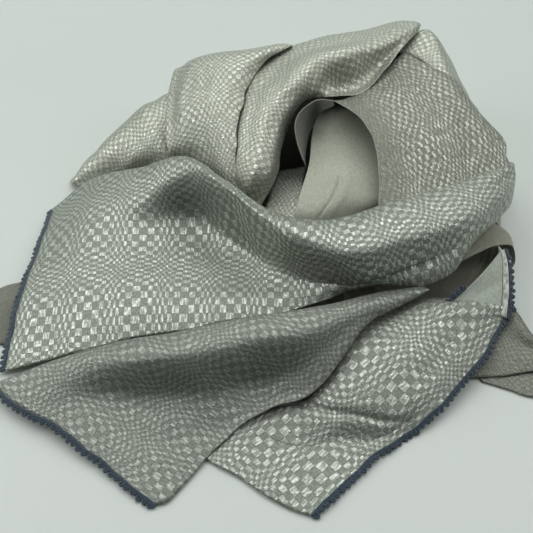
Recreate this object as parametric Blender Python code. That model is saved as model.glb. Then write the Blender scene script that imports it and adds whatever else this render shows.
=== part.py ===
"""Silk shawl dropped on a table in a swirled heap.

The shawl is one long strip of light handwoven silk with a narrow crocheted edging
along both short ends. It lies in a heap: a hood and folds swirl round a small
hollow, a big roll crosses in front of them, and both ends spread towards the
front. Each stretch of cloth that shows is a thin wall through a few sections.
The layers that nobody sees share one rounded solid with a flat underside.
"""
import itertools
import math
from collections import namedtuple

import bpy
import numpy as np
from mathutils import Matrix, Vector
from mathutils.bvhtree import BVHTree

# Driving sizes, in millimetres. X runs to the right, Y to the back, Z up.
MM = 0.001
WALL = 1.2
SEAM_GAP = 0.8
ROLL_ANGLES = (165, 110, 55)

# The crocheted edging
EDGING_WIDTH = 4.6
PICOT_HEIGHT = 3.2
PICOT_PITCH = 8.6
EDGING_THICKNESS = 1.6

# The hidden layers
CORE_CENTRE = (20, 120)
CORE_SPOKES = 72
CORE_RINGS = 12
CORE_CLEARANCE = 0.3
CORE_OPEN_HEIGHT = 24
CORE_OPEN_RADIUS = 200
LAYER_HEIGHT = 2.6
LAYER_LEDGE = 7
LAYER_EDGE = 0.75
LAYERS = 3
SAMPLES_PER_SIDE = 8
RAY_SPREAD = 3.5
RAISING_PASSES = 3

# Places where the hidden layers stay low, and the light does not reach.
Hollow = namedtuple("Hollow", "x y radius floor")
HOLLOWS = (
    Hollow(x=-50, y=108, radius=13, floor=40),
    Hollow(x=32, y=168, radius=36, floor=28),
    Hollow(x=126, y=178, radius=32, floor=80),
    Hollow(x=175, y=0, radius=44, floor=26),
    Hollow(x=262, y=24, radius=18, floor=12),
)

# A stretch of cloth: a row for each section, a named point in each column.
# A roll is the radius of the fold that hides the first column's edge, row by row.
Stretch = namedtuple("Stretch", "name columns rows roll steps finish")

UPPER_END = Stretch(
    name="upper_end",
    columns=("crest", "brow", "face", "base", "crease", "apron", "foot"),
    rows=(
        ((-300, 145, 9), (-299, 104, 13), (-302, 38, 16), (-304, -12, 17),
         (-304, -40, 16), (-303, -82, 12), (-303, -123, 8)),
        ((-241, 180, 36), (-234, 120, 44), (-228, 51, 44), (-223, 0, 40),
         (-222, -28, 37), (-220, -68, 30), (-217, -106, 20)),
        ((-171, 163, 68), (-166, 114, 69), (-162, 56, 53), (-161, 11, 46),
         (-161, -17, 44), (-158, -54, 38), (-155, -92, 28)),
        ((-110, 153, 96), (-101, 120, 95), (-96, 70, 50), (-98, 15, 42),
         (-98, -14, 41), (-98, -49, 38), (-95, -82, 31)),
        ((-56, 100, 102), (-44, 71, 98), (-37, 34, 51), (-37, -2, 42),
         (-38, -20, 41), (-37, -47, 41), (-35, -70, 36)),
        ((7, 34, 106), (19, 6, 104), (29, -12, 78), (37, -24, 52),
         (39, -32, 49), (40, -44, 47), (42, -58, 41)),
        ((75, 16, 110), (85, -17, 109), (98, -29, 90), (104, -40, 70),
         (106, -38, 65), (109, -40, 61), (114, -37, 56)),
        ((159, 42, 118), (165, 9, 119), (172, -9, 101), (160, -27, 84),
         (164, -20, 79), (170, -28, 73), (181, -28, 61)),
        ((234, 68, 122), (239, 41, 121), (245, 23, 105), (222, -1, 93),
         (224, 8, 87), (224, -5, 78), (224, -11, 62)),
        ((290, 100, 120), (297, 90, 114), (298, 74, 104), (264, 37, 93),
         (266, 45, 86), (263, 33, 78), (259, 33, 62)),
        ((314, 130, 108), (319, 124, 100), (318, 112, 92), (298, 83, 84),
         (298, 86, 76), (292, 77, 70), (284, 66, 60)),
        ((319, 148, 98), (325, 144, 88), (326, 136, 80), (318, 114, 72),
         (314, 108, 64), (310, 100, 58), (303, 92, 54)),
    ),
    roll=(2.5, 5, 7, 7, 7, 9, 11, 11, 10, 7, 5, 3),
    steps=(32, 17),
    finish="silk_face",
)

LOWER_END = Stretch(
    name="lower_end",
    columns=("ridge", "shoulder", "face", "apron", "foot"),
    rows=(
        ((-307, -142, 9), (-281, -168, 13), (-228, -196, 14), (-176, -233, 8), (-113, -281, 3)),
        ((-233, -124, 30), (-211, -141, 32), (-183, -170, 17), (-149, -203, 10), (-98, -275, 3)),
        ((-162, -118, 52), (-143, -133, 54), (-117, -166, 22), (-96, -196, 12), (-73, -245, 3)),
        ((-94, -114, 66), (-76, -130, 66), (-57, -164, 27), (-48, -185, 15), (-37, -203, 9)),
        ((-34, -104, 74), (-19, -120, 74), (-3, -149, 36), (3, -167, 22), (6, -177, 16)),
        ((27, -94, 76), (39, -109, 76), (50, -134, 48), (53, -153, 34), (52, -164, 27)),
        ((86, -77, 72), (96, -87, 72), (96, -102, 62), (92, -115, 52), (85, -129, 43)),
        ((139, -53, 63), (145, -60, 64), (142, -69, 61), (130, -79, 57), (113, -91, 52)),
        ((186, -39, 57), (191, -43, 58), (186, -47, 57), (178, -52, 56), (168, -58, 55)),
    ),
    roll=(2.5, 6, 8, 8, 8, 8, 8, 6, 3),
    steps=(22, 11),
    finish="silk_face",
)

RIGHT_END = Stretch(
    name="right_end",
    columns=("fold", "ridge", "slope", "valley", "front", "lap", "selvedge"),
    rows=(
        ((294, -44, 30), (278, -64, 23), (257, -97, 14), (230, -133, 9),
         (190, -175, 6), (122, -223, 5), (44, -292, 3)),
        ((255, -51, 44), (239, -80, 47), (216, -120, 40), (195, -150, 13),
         (159, -185, 8), (102, -220, 6), (19, -283, 3)),
        ((217, -53.6, 50.3), (197, -88, 53), (173, -134, 48), (153, -160, 11),
         (123, -192, 8), (67, -222, 6), (-11, -265, 3)),
        ((185, -52, 47), (159, -93, 50), (134, -143, 43), (111, -173, 8),
         (85, -193, 7), (34, -217, 6), (-38, -246, 3)),
        ((143, -63, 40), (118, -102, 42), (95, -150, 33), (69, -172, 7),
         (43, -186, 6), (-5, -210, 5), (-64, -230, 3)),
        ((104, -66, 32), (81, -98, 32), (60, -139, 24), (34, -161, 6),
         (6, -171, 6), (-38, -192, 5), (-82, -209, 3)),
    ),
    roll=(2, 5, 7, 7, 7, 2),
    steps=(18, 14),
    finish="silk_face",
)

TURNED_CORNER = Stretch(
    name="turned_corner",
    columns=("inner", "middle", "hem"),
    rows=(
        ((218, -56, 47.6), (255, -46, 45), (294, -38, 35)),
        ((243, -34, 58), (270, -25, 53), (299, -20, 45)),
        ((270, -6, 64), (283, -1, 61), (298, 3, 56)),
        ((284, 10, 67), (287, 13, 65), (291, 17, 63)),
    ),
    roll=None,
    steps=(7, 6),
    finish="silk_back",
)

POCKET = Stretch(
    name="pocket",
    columns=("top", "side", "lip"),
    rows=(
        ((212, 8, 44), (213, -8, 49), (213, -24, 51)),
        ((240, 36, 50), (240, 16, 52), (238, 1, 54)),
        ((266, 62, 51), (268, 38, 53), (265, 21, 54)),
        ((292, 82, 46), (300, 58, 49), (292, 35, 51)),
        ((304, 86, 36), (313, 64, 42), (313, 42, 41)),
        ((310, 84, 24), (319, 58, 28), (318, 34, 27)),
        ((313, 80, 1.9), (322, 54, 4), (319, 36, 5)),
    ),
    roll=None,
    steps=(12, 5),
    finish="silk_back",
)

RIGHT_SIDE = Stretch(
    name="right_side",
    columns=("tuck", "bend", "side", "skirt"),
    rows=(
        ((282, 176, 71), (303, 177, 70), (325, 182, 40), (333, 186, 3.2)),
        ((276, 141, 69), (299, 140, 68), (321, 144, 38), (329, 146, 3.2)),
        ((262, 116, 46), (288, 110, 45.5), (312, 108, 28), (321, 106, 3.2)),
        ((276, 102, 34), (299, 98, 33), (314, 96, 20), (319, 94, 3.2)),
    ),
    roll=None,
    steps=(7, 6),
    finish="silk_back",
)

RIGHT_TAIL_UPPER = Stretch(
    name="right_tail_upper",
    columns=("back", "middle", "front"),
    rows=(
        ((280, -20, 17), (262, -64, 12.2), (228, -130, 3.2)),
        ((298, -42, 20), (287, -86, 12.2), (268, -129, 4)),
        ((312, -79, 18), (311, -99, 13), (307, -123, 6)),
        ((331, -102, 13), (334, -112, 9), (335, -123, 5)),
    ),
    roll=(4, 4, 4, 3),
    steps=(8, 7),
    finish="silk_face",
)

RIGHT_TAIL_LOWER = Stretch(
    name="right_tail_lower",
    columns=("back", "front"),
    rows=(
        ((240, -112, 1.6), (247, -134, 1.8)),
        ((275, -118, 2.4), (275, -145, 1.6)),
        ((311, -116, 2.8), (301, -155, 1.6)),
        ((338, -124, 1.8), (330, -149, 1.6)),
    ),
    roll=None,
    steps=(8, 3),
    finish="silk_face",
)

LEFT_UNDER_LAYER = Stretch(
    name="left_under_layer",
    columns=("back", "middle", "front"),
    rows=(
        ((-250, 22, 3.6), (-248, -30, 7), (-246, -86, 3)),
        ((-300, 14, 8), (-296, -30, 9), (-292, -80, 3)),
        ((-340, 0, 7), (-336, -34, 8), (-330, -80, 2)),
        ((-358, -18, 3), (-356, -40, 4), (-352, -68, 2)),
    ),
    roll=None,
    steps=(9, 6),
    finish="silk_back",
)

BACK_LEFT_FOLD = Stretch(
    name="back_left_fold",
    columns=("tuck", "front", "crest", "back", "skirt"),
    rows=(
        ((-262, 188, 5), (-272, 194, 9), (-281, 198, 11), (-284, 204, 7), (-287, 210, 3)),
        ((-206, 192, 21), (-221, 201, 36), (-248, 221, 42), (-260, 238, 26), (-268, 252, 3)),
        ((-158, 186, 44), (-172, 199, 62), (-200, 255, 77), (-213, 286, 44), (-224, 308, 3)),
        ((-126, 180, 56), (-142, 196, 76), (-162, 272, 101), (-176, 316, 58), (-187, 348, 3)),
        ((-106, 190, 50), (-112, 212, 73), (-123, 300, 98), (-131, 346, 56), (-138, 380, 4)),
    ),
    roll=None,
    steps=(12, 10),
    finish="silk_face",
)

SECOND_FOLD = Stretch(
    name="second_fold",
    columns=("left", "left_swell", "middle", "right_swell", "right"),
    rows=(
        ((-120, 174, 66), (-100, 166, 70), (-78, 146, 72), (-56, 116, 74), (-41, 101, 74)),
        ((-128, 182, 88), (-106, 176, 98), (-80, 166, 105), (-57, 146, 107), (-42, 130, 106)),
        ((-132, 221, 108), (-113, 210, 126), (-81, 202, 136), (-53, 193, 138), (-37, 182, 134)),
        ((-132, 267, 120), (-113, 257, 138), (-77, 255, 152), (-42, 252, 157), (-14, 262, 154)),
        ((-127, 317, 124), (-105, 307, 144), (-67, 300, 158), (-23, 296, 165), (33, 311, 170)),
        ((-131, 346, 98), (-105, 345, 118), (-65, 345, 130), (-20, 348, 136), (35, 356, 140)),
        ((-140, 378, 52), (-108, 387, 66), (-62, 394, 74), (-15, 398, 80), (48, 408, 84)),
        ((-148, 396, 10), (-112, 410, 10), (-62, 420, 10), (-10, 427, 10), (58, 437, 10)),
    ),
    roll=(3, 5, 7, 7, 7, 6, 5, 3),
    steps=(17, 12),
    finish="silk_face",
)

HOOD = Stretch(
    name="hood",
    columns=("outer", "shoulder", "ridge", "inner", "lip"),
    rows=(
        ((-46, 112, 54), (-38, 102, 64), (-29, 94, 69), (-21, 89, 67), (-13, 85, 60)),
        ((-50, 130, 82), (-33, 117, 97), (-14, 106, 106), (2, 109, 101), (13, 121, 88)),
        ((-52, 154, 100), (-31, 143, 116), (-3, 138, 126), (12, 146, 118), (19, 162, 98)),
        ((-52, 178, 112), (-27, 169, 128), (2, 168, 138), (19, 176, 128), (27, 192, 106)),
        ((-44, 206, 124), (-18, 200, 141), (17, 194, 150), (33, 198, 140), (36, 212, 118)),
        ((-23, 261, 144), (7, 252, 156), (44, 228, 163), (58, 222, 150), (54, 232, 132)),
        ((19, 309, 156), (43, 287, 166), (72, 254, 170), (88, 238, 156), (94, 224, 142)),
        ((72, 328, 164), (93, 300, 172), (115, 272, 174), (124, 252, 163), (127, 222, 152)),
        ((139, 344, 168), (149, 319, 176), (160, 293, 176), (160, 279, 168), (162, 268, 161)),
        ((198, 362, 173), (205, 348, 178), (209, 337, 178), (203, 325, 173), (199, 318, 168)),
        ((214, 362, 172), (217, 355, 174), (219, 350, 174), (217, 345, 172), (215, 341, 170)),
    ),
    roll=(2, 4, 5, 5, 6, 7, 9, 10, 9, 6, 2.5),
    steps=(22, 12),
    finish="silk_face",
)

BACK_PANEL = Stretch(
    name="back_panel",
    columns=("inner", "crest", "upper", "skirt", "floor"),
    rows=(
        ((10, 300, 134), (15, 326, 138), (18, 350, 118), (22, 384, 62), (28, 412, 6)),
        ((70, 312, 138), (78, 336, 142), (85, 362, 122), (95, 400, 66), (105, 432, 6)),
        ((130, 322, 142), (138, 344, 146), (146, 372, 126), (158, 408, 68), (170, 436, 6)),
        ((182, 314, 148), (196, 346, 156), (208, 372, 134), (222, 402, 70), (238, 426, 6)),
        ((204, 303, 150), (227, 340, 172), (248, 358, 140), (270, 384, 72), (288, 404, 6)),
        ((219, 286, 149), (237, 302, 166), (266, 318, 134), (298, 336, 68), (316, 350, 6)),
        ((236, 264, 140), (244, 268, 157), (274, 280, 126), (306, 298, 64), (326, 310, 6)),
        ((244, 238, 126), (255, 239, 138), (284, 248, 112), (314, 264, 60), (334, 272, 6)),
        ((254, 200, 120), (268, 200, 128), (298, 212, 102), (322, 226, 56), (340, 234, 6)),
        ((274, 176, 110), (288, 178, 118), (314, 190, 92), (332, 200, 50), (344, 206, 6)),
        ((298, 162, 96), (308, 163, 102), (326, 168, 78), (337, 176, 42), (345, 180, 6)),
    ),
    roll=None,
    steps=(22, 9),
    finish="silk_face",
)

INNER_WALL = Stretch(
    name="inner_wall",
    columns=("crest", "outer", "middle", "inner", "selvedge"),
    rows=(
        ((192, 306, 156), (168, 284, 150), (138, 250, 142), (106, 226, 136), (89, 207, 146)),
        ((216, 272, 160), (202, 256, 158), (171, 233, 154), (136, 209, 149), (109, 189, 144)),
        ((246, 234, 160), (224, 209, 158), (192, 191, 154), (156, 175, 148), (125, 164, 142)),
        ((264, 183, 152), (240, 174, 155), (202, 151, 152), (165, 140, 145), (134, 135, 138)),
        ((283, 157, 144), (251, 132, 148), (208, 111, 146), (170, 103, 138), (138, 105, 130)),
        ((299, 140, 130), (262, 112, 134), (214, 88, 130), (173, 77, 124), (138, 77, 118)),
        ((306, 146, 106), (270, 116, 106), (222, 88, 103), (178, 70, 100), (138, 58, 100)),
        ((304, 150, 88), (268, 120, 88), (222, 92, 86), (178, 74, 84), (140, 60, 84)),
    ),
    roll=(3, 5, 7, 8, 7, 5, 3, 2),
    steps=(18, 12),
    finish="silk_face",
)

CURLED_LIP = Stretch(
    name="curled_lip",
    columns=("edge", "middle", "deep"),
    rows=(
        ((88.6, 208.2, 146), (88, 214, 125), (88, 218, 104)),
        ((72, 211, 146), (73, 217, 124), (74, 221, 102)),
        ((57, 206, 143), (60, 212, 121), (64, 214, 100)),
        ((44, 196, 137), (52, 200, 114), (58, 202, 94)),
        ((37, 183, 127), (47, 184, 106), (54, 184, 88)),
        ((39, 168, 113), (47, 166, 97), (52, 165, 83)),
        ((48, 146, 96), (51, 147, 87), (54, 148, 78)),
    ),
    roll=None,
    steps=(12, 4),
    finish="silk_back",
)

INNER_TONGUE = Stretch(
    name="inner_tongue",
    columns=("left", "left_swell", "middle", "right_swell", "right"),
    rows=(
        ((74, 206, 100), (86, 206, 106), (102, 204, 108), (118, 196, 108), (132, 182, 104)),
        ((66, 204, 120), (84, 205, 127), (104, 202, 129), (122, 190, 126), (138, 174, 120)),
        ((61, 180, 112), (81, 180, 120), (106, 178, 122), (128, 166, 120), (148, 152, 114)),
        ((56, 138, 100), (77, 138, 107), (102, 135, 112), (127, 131, 111), (150, 124, 106)),
        ((45, 96, 92), (70, 95, 100), (97, 90, 106), (124, 90, 104), (150, 92, 98)),
        ((35, 58, 86), (61, 50, 91), (93, 57, 94), (123, 61, 93), (148, 68, 88)),
        ((30, 48, 74), (60, 40, 76), (93, 46, 78), (123, 56, 79), (148, 66, 76)),
    ),
    roll=None,
    steps=(12, 8),
    finish="silk_back",
)

HOLLOW_PATCH = Stretch(
    name="hollow_patch",
    columns=("left", "right"),
    rows=(
        ((17, 170, 57), (54, 177, 60)),
        ((5, 122, 61), (48, 127, 66)),
        ((-4, 80, 62), (38, 74, 71)),
    ),
    roll=None,
    steps=(5, 3),
    finish="silk_face",
)

STRETCHES = (
    UPPER_END, LOWER_END, RIGHT_END, TURNED_CORNER, POCKET, RIGHT_SIDE, RIGHT_TAIL_UPPER,
    RIGHT_TAIL_LOWER, LEFT_UNDER_LAYER, BACK_LEFT_FOLD, SECOND_FOLD, HOOD, BACK_PANEL, INNER_WALL,
    CURLED_LIP, INNER_TONGUE, HOLLOW_PATCH,
)

# The hidden layers' reach from their centre, every 30 degrees, anticlockwise from +X.
CORE_REACH = (304, 344, 348, 304, 308, 288, 288, 290, 300, 250, 238, 274)

# Linear colours and roughness of each finish.
FINISHES = {
    "silk_face": ((0.50, 0.52, 0.48), 0.42),
    "silk_back": ((0.44, 0.42, 0.36), 0.70),
    "edging": ((0.030, 0.050, 0.090), 0.85),
}


def remove_everything():
    for thing in list(bpy.data.objects):
        bpy.data.objects.remove(thing)


def make_materials():
    """One Principled material for each finish."""
    materials = {}
    for name, (colour, roughness) in FINISHES.items():
        material = bpy.data.materials.new(name)
        material.use_nodes = True
        shader = material.node_tree.nodes["Principled BSDF"]
        shader.inputs["Base Color"].default_value = (*colour, 1.0)
        shader.inputs["Roughness"].default_value = roughness
        shader.inputs["Metallic"].default_value = 0.0
        materials[name] = material
    return materials


def through(points, steps):
    """A smooth curve through the first axis of points, sampled at even steps."""
    gaps = np.linalg.norm(np.diff(points, axis=0), axis=-1)
    gaps = gaps.reshape(len(gaps), -1).mean(axis=1)
    knots = np.concatenate(([0.0], np.cumsum(gaps)))
    slopes = np.gradient(points, knots, axis=0) if len(points) > 2 else np.diff(points, axis=0) / gaps
    if len(slopes) == 1:
        slopes = np.repeat(slopes, 2, axis=0)
    places = np.linspace(0.0, knots[-1], steps + 1)
    first = np.clip(np.searchsorted(knots, places, side="right") - 1, 0, len(knots) - 2)
    span = knots[first + 1] - knots[first]
    shape = (-1,) + (1,) * (points.ndim - 1)
    t = ((places - knots[first]) / span).reshape(shape)
    span = span.reshape(shape)
    start_weight = 2 * t**3 - 3 * t**2 + 1
    end_weight = 3 * t**2 - 2 * t**3
    start = points[first] * start_weight + slopes[first] * span * (t**3 - 2 * t**2 + t)
    end = points[first + 1] * end_weight + slopes[first + 1] * span * (t**3 - t**2)
    return start + end


def roll_columns(first, second, radius):
    """Points of the fold that turns the cloth under behind its first column."""
    along = np.gradient(first, axis=0)
    back = np.stack([-along[:, 1], along[:, 0], np.zeros(len(first))], axis=1)
    back /= np.linalg.norm(back, axis=1, keepdims=True)
    facing = np.sign(np.sum(back * (first - second), axis=1, keepdims=True))
    back *= facing
    up = np.array([0.0, 0.0, 1.0])
    radius = np.array(radius, dtype=float)[:, None]
    columns = []
    for angle in ROLL_ANGLES:
        turn = math.radians(angle)
        columns.append(first + radius * (math.sin(turn) * back - (1 - math.cos(turn)) * up))
    return columns


def sheet_points(stretch):
    """The fine grid of a stretch: steps along it, then steps across it."""
    table = np.array(stretch.rows, dtype=float)
    columns = [table[:, index] for index in range(table.shape[1])]
    if stretch.roll:
        columns = roll_columns(columns[0], columns[1], stretch.roll) + columns
    grid = np.stack(columns, axis=1)
    along_steps, across_steps = stretch.steps
    grid = through(grid, along_steps)
    grid = through(grid.transpose(1, 0, 2), across_steps).transpose(1, 0, 2)
    return grid


def grid_faces(rows, columns):
    faces = []
    for row in range(rows - 1):
        for column in range(columns - 1):
            corner = row * columns + column
            faces.append((corner, corner + 1, corner + columns + 1, corner + columns))
    return faces


def add_object(name, points, faces, material):
    mesh = bpy.data.meshes.new(name)
    mesh.from_pydata([tuple(point * MM) for point in points], [], faces)
    mesh.materials.append(material)
    mesh.shade_smooth()
    thing = bpy.data.objects.new(name, mesh)
    bpy.context.scene.collection.objects.link(thing)
    return thing


def thicken(thing, thickness):
    wall = thing.modifiers.new("wall", "SOLIDIFY")
    wall.thickness = thickness * MM
    wall.offset = 0.0
    wall.use_rim = True


def make_stretch(stretch, materials):
    grid = sheet_points(stretch)
    rows, columns = grid.shape[:2]
    points = grid.reshape(-1, 3)
    thing = add_object(stretch.name, points, grid_faces(rows, columns), materials[stretch.finish])
    thicken(thing, WALL)
    return grid


def make_edging(name, hem, inside, materials):
    """A strip with a picot every few millimetres, just off a hem.

    hem and inside are the cloth's last and last but one lines of points.
    """
    lengths = np.linalg.norm(np.diff(hem, axis=0), axis=1)
    run = np.concatenate(([0.0], np.cumsum(lengths)))
    picots = max(1, round(run[-1] / PICOT_PITCH))
    places = np.linspace(0.0, run[-1], 2 * picots + 1)
    edge = np.stack([np.interp(places, run, hem[:, axis]) for axis in range(3)], axis=1)
    outward = np.stack([np.interp(places, run, (hem - inside)[:, axis]) for axis in range(3)], axis=1)
    outward /= np.linalg.norm(outward, axis=1, keepdims=True)
    peaks = np.arange(len(places)) % 2
    reach = EDGING_WIDTH + PICOT_HEIGHT * peaks
    root = edge + outward * SEAM_GAP
    tips = edge + outward * reach[:, None]
    points = np.stack([root, tips], axis=1).reshape(-1, 3)
    strip = add_object(name, points, grid_faces(len(places), 2), materials["edging"])
    thicken(strip, EDGING_THICKNESS)


def all_walls():
    """Points and faces of all the solids made so far, in metres."""
    graph = bpy.context.evaluated_depsgraph_get()
    points = []
    faces = []
    for thing in bpy.context.scene.objects:
        mesh = thing.evaluated_get(graph).to_mesh()
        first = len(points)
        points.extend(vertex.co.copy() for vertex in mesh.vertices)
        faces.extend([first + corner for corner in face.vertices] for face in mesh.polygons)
    return points, faces


def free_height(tree, x, y):
    """Free height under the lowest wall at one place on the floor."""
    lowest = math.inf
    for side_x, side_y in itertools.product((-RAY_SPREAD, 0, RAY_SPREAD), repeat=2):
        start = Vector(((x + side_x) * MM, (y + side_y) * MM, -1.0))
        hit = tree.ray_cast(start, Vector((0.0, 0.0, 1.0)))[0]
        if hit is not None:
            lowest = min(lowest, hit.z / MM - CORE_CLEARANCE)
    if lowest == math.inf:
        is_inside = math.dist((x, y), CORE_CENTRE) < CORE_OPEN_RADIUS
        lowest = CORE_OPEN_HEIGHT if is_inside else LAYER_HEIGHT / 2
    for hollow in HOLLOWS:
        if math.dist((x, y), (hollow.x, hollow.y)) < hollow.radius:
            lowest = min(lowest, hollow.floor)
    return lowest


def core_plan():
    """Places of the hidden layers' points, their greatest heights, and the top's triangles."""
    centre_x, centre_y = CORE_CENTRE
    angles = np.linspace(0.0, 2 * math.pi, CORE_SPOKES, endpoint=False)
    table = np.array(CORE_REACH + CORE_REACH[:1], dtype=float)
    reach = np.interp(angles, np.linspace(0.0, 2 * math.pi, len(table)), table)
    rings = []
    for ring in range(1, CORE_RINGS + 1):
        rings.append(((reach - LAYERS * LAYER_LEDGE) * ring / CORE_RINGS, math.inf))
    for layer in range(LAYERS, 0, -1):
        inner = reach - layer * LAYER_LEDGE
        rings.append((inner + LAYER_EDGE, layer * LAYER_HEIGHT))
        rings.append((inner + LAYER_LEDGE - LAYER_EDGE, layer * LAYER_HEIGHT))
    rings.append((reach, 0.0))
    places = [(centre_x, centre_y)]
    limits = [math.inf]
    for distances, limit in rings:
        for angle, distance in zip(angles, distances):
            places.append((centre_x + distance * math.cos(angle), centre_y + distance * math.sin(angle)))
            limits.append(limit)
    triangles = []
    for spoke in range(CORE_SPOKES):
        after = (spoke + 1) % CORE_SPOKES
        triangles.append((0, 1 + spoke, 1 + after))
        for ring in range(len(rings) - 1):
            inner = 1 + ring * CORE_SPOKES
            outer = inner + CORE_SPOKES
            triangles.append((inner + spoke, outer + spoke, outer + after))
            triangles.append((inner + spoke, outer + after, inner + after))
    return np.array(places), np.array(limits), np.array(triangles)


def core_heights(places, limits, triangles):
    """Height of each point of the hidden layers, raised until they just clear the walls."""
    tree = BVHTree.FromPolygons(*all_walls())
    weights = []
    for first in range(SAMPLES_PER_SIDE + 1):
        for second in range(SAMPLES_PER_SIDE + 1 - first):
            weights.append((first, second, SAMPLES_PER_SIDE - first - second))
    weights = np.array(weights) / SAMPLES_PER_SIDE
    samples = np.einsum("sc,tcx->tsx", weights, places[triangles])
    room = np.array([[free_height(tree, x, y) for x, y in row] for row in samples])
    heights = limits.copy()
    np.minimum.at(heights, triangles, room.min(axis=1)[:, None])
    heights = np.maximum(heights, 0.0)
    around = [[] for _ in places]
    for index, triangle in enumerate(triangles):
        for corner, point in enumerate(triangle):
            around[point].append((index, corner))
    for _ in range(RAISING_PASSES):
        for point in range(len(places)):
            raise_by = limits[point] - heights[point]
            for index, corner in around[point]:
                spare = room[index] - weights @ heights[triangles[index]]
                share = weights[:, corner]
                raise_by = min(raise_by, (spare[share > 0] / share[share > 0]).min())
            heights[point] += max(0.0, raise_by)
    return heights


def make_core(materials):
    """The hidden layers: a rounded heap under the walls, layered round its foot."""
    places, limits, triangles = core_plan()
    heights = core_heights(places, limits, triangles)
    points = [np.array([x, y, height]) for (x, y), height in zip(places, heights)]
    faces = [tuple(triangle) for triangle in triangles.tolist()]
    points.append(np.array([*CORE_CENTRE, 0.0]))
    floor_ring = len(places) - CORE_SPOKES
    for spoke in range(CORE_SPOKES):
        after = (spoke + 1) % CORE_SPOKES
        faces.append((len(places), floor_ring + after, floor_ring + spoke))
    add_object("heap_core", points, faces, materials["silk_face"])


def centre_on_floor():
    """Moves all the solids so that the origin is the bottom centre of their box."""
    points = np.array(all_walls()[0])
    middle = (points.min(axis=0) + points.max(axis=0)) / 2
    shift = Matrix.Translation((-middle[0], -middle[1], 0.0))
    for thing in bpy.context.scene.objects:
        thing.data.transform(shift)


def main():
    remove_everything()
    materials = make_materials()
    grids = {}
    for stretch in STRETCHES:
        grids[stretch.name] = make_stretch(stretch, materials)
    for end in (UPPER_END, LOWER_END, RIGHT_END):
        grid = grids[end.name]
        flat = np.argmin(np.linalg.norm(grid[0] - np.array(end.rows[0][0]), axis=1)) + 1
        make_edging("edging_" + end.name, grid[0, flat:], grid[1, flat:], materials)
    corner = grids["turned_corner"]
    make_edging("edging_corner", corner[:, -1], corner[:, -2], materials)
    make_edging("edging_inner_bit", corner[:3, 0], corner[:3, 1], materials)
    make_core(materials)
    centre_on_floor()


main()
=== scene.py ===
"""Silk shawl dropped in a swirled heap: its looks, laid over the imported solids."""
import math
from collections import namedtuple

import bpy
import numpy as np
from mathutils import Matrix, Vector, noise


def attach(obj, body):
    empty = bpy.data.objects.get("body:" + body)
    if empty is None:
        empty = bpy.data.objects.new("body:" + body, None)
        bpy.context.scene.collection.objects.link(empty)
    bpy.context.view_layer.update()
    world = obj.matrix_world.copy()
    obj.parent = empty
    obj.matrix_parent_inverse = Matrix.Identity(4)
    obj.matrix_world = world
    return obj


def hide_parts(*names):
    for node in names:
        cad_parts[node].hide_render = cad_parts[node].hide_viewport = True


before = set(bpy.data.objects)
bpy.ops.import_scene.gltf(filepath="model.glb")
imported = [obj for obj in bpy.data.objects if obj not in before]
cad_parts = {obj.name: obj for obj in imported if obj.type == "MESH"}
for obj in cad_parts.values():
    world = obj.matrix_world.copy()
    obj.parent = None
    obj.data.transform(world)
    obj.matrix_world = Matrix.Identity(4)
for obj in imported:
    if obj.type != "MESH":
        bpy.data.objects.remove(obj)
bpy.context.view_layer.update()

# Lengths are in millimetres. The tables stand in the cloth's own frame, this far from the part's origin.
MM = 0.001
TABLE_ORIGIN = np.array([6.287, -72.047, 0.0])
HEAP_HEART = np.array([26.0, 48.0, -40.0])
CLOTH_THICKNESS = 0.5
ROLL_ANGLES = (165, 135, 105, 75, 45)
TINY = 1e-6

# The check along and across the cloth: its repeat, in so many cells, and how far its threads stray
Check = namedtuple("Check", "repeat cells ragged wander")
LENGTH_CHECK = Check(58.0, 10, 1.1, 2.5)
WIDTH_CHECK = Check(128.0, 20, 1.6, 3.5)
CELL_SHARPNESS = 5.0

# Speckles of the silk, so many to a millimetre along and across the cloth
RAGGED = (0.8, 0.3)
WANDER = (0.04, 0.04)
FIBRE = (0.6, 0.2)
GRAIN = (0.5, 0.4)
FACE_PATCH = (0.12, 0.12)
BACK_WEFT = (0.14, 0.5)
BACK_WARP = (0.5, 0.14)
BACK_CLOUD = (0.02, 0.02)
HEM_PATCH = (0.16, 0.2)

# Colours of the silk, of its painted glints, of the sewing and of the yarn
MATTE_DARK = (0.17, 0.195, 0.166)
MATTE_LIGHT = (0.40, 0.444, 0.386)
SATIN_DARK = (0.42, 0.464, 0.405)
SATIN_PAINTED_GLINT = (0.73, 0.79, 0.707)
FACE_SELVEDGE = (0.62, 0.64, 0.58)
BACK_DARK = (0.30, 0.32, 0.255)
BACK_LIGHT = (0.48, 0.51, 0.415)
BACK_MIDDLE = (0.37, 0.39, 0.315)
BACK_SELVEDGE = (0.66, 0.67, 0.58)
HEM_DARK = (0.27, 0.30, 0.25)
HEM_LIGHT = (0.66, 0.71, 0.62)
SEWING_LINE = (0.10, 0.11, 0.09)
YARN_DARK = (0.009, 0.021, 0.033)
YARN_LIGHT = (0.034, 0.070, 0.102)

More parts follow.
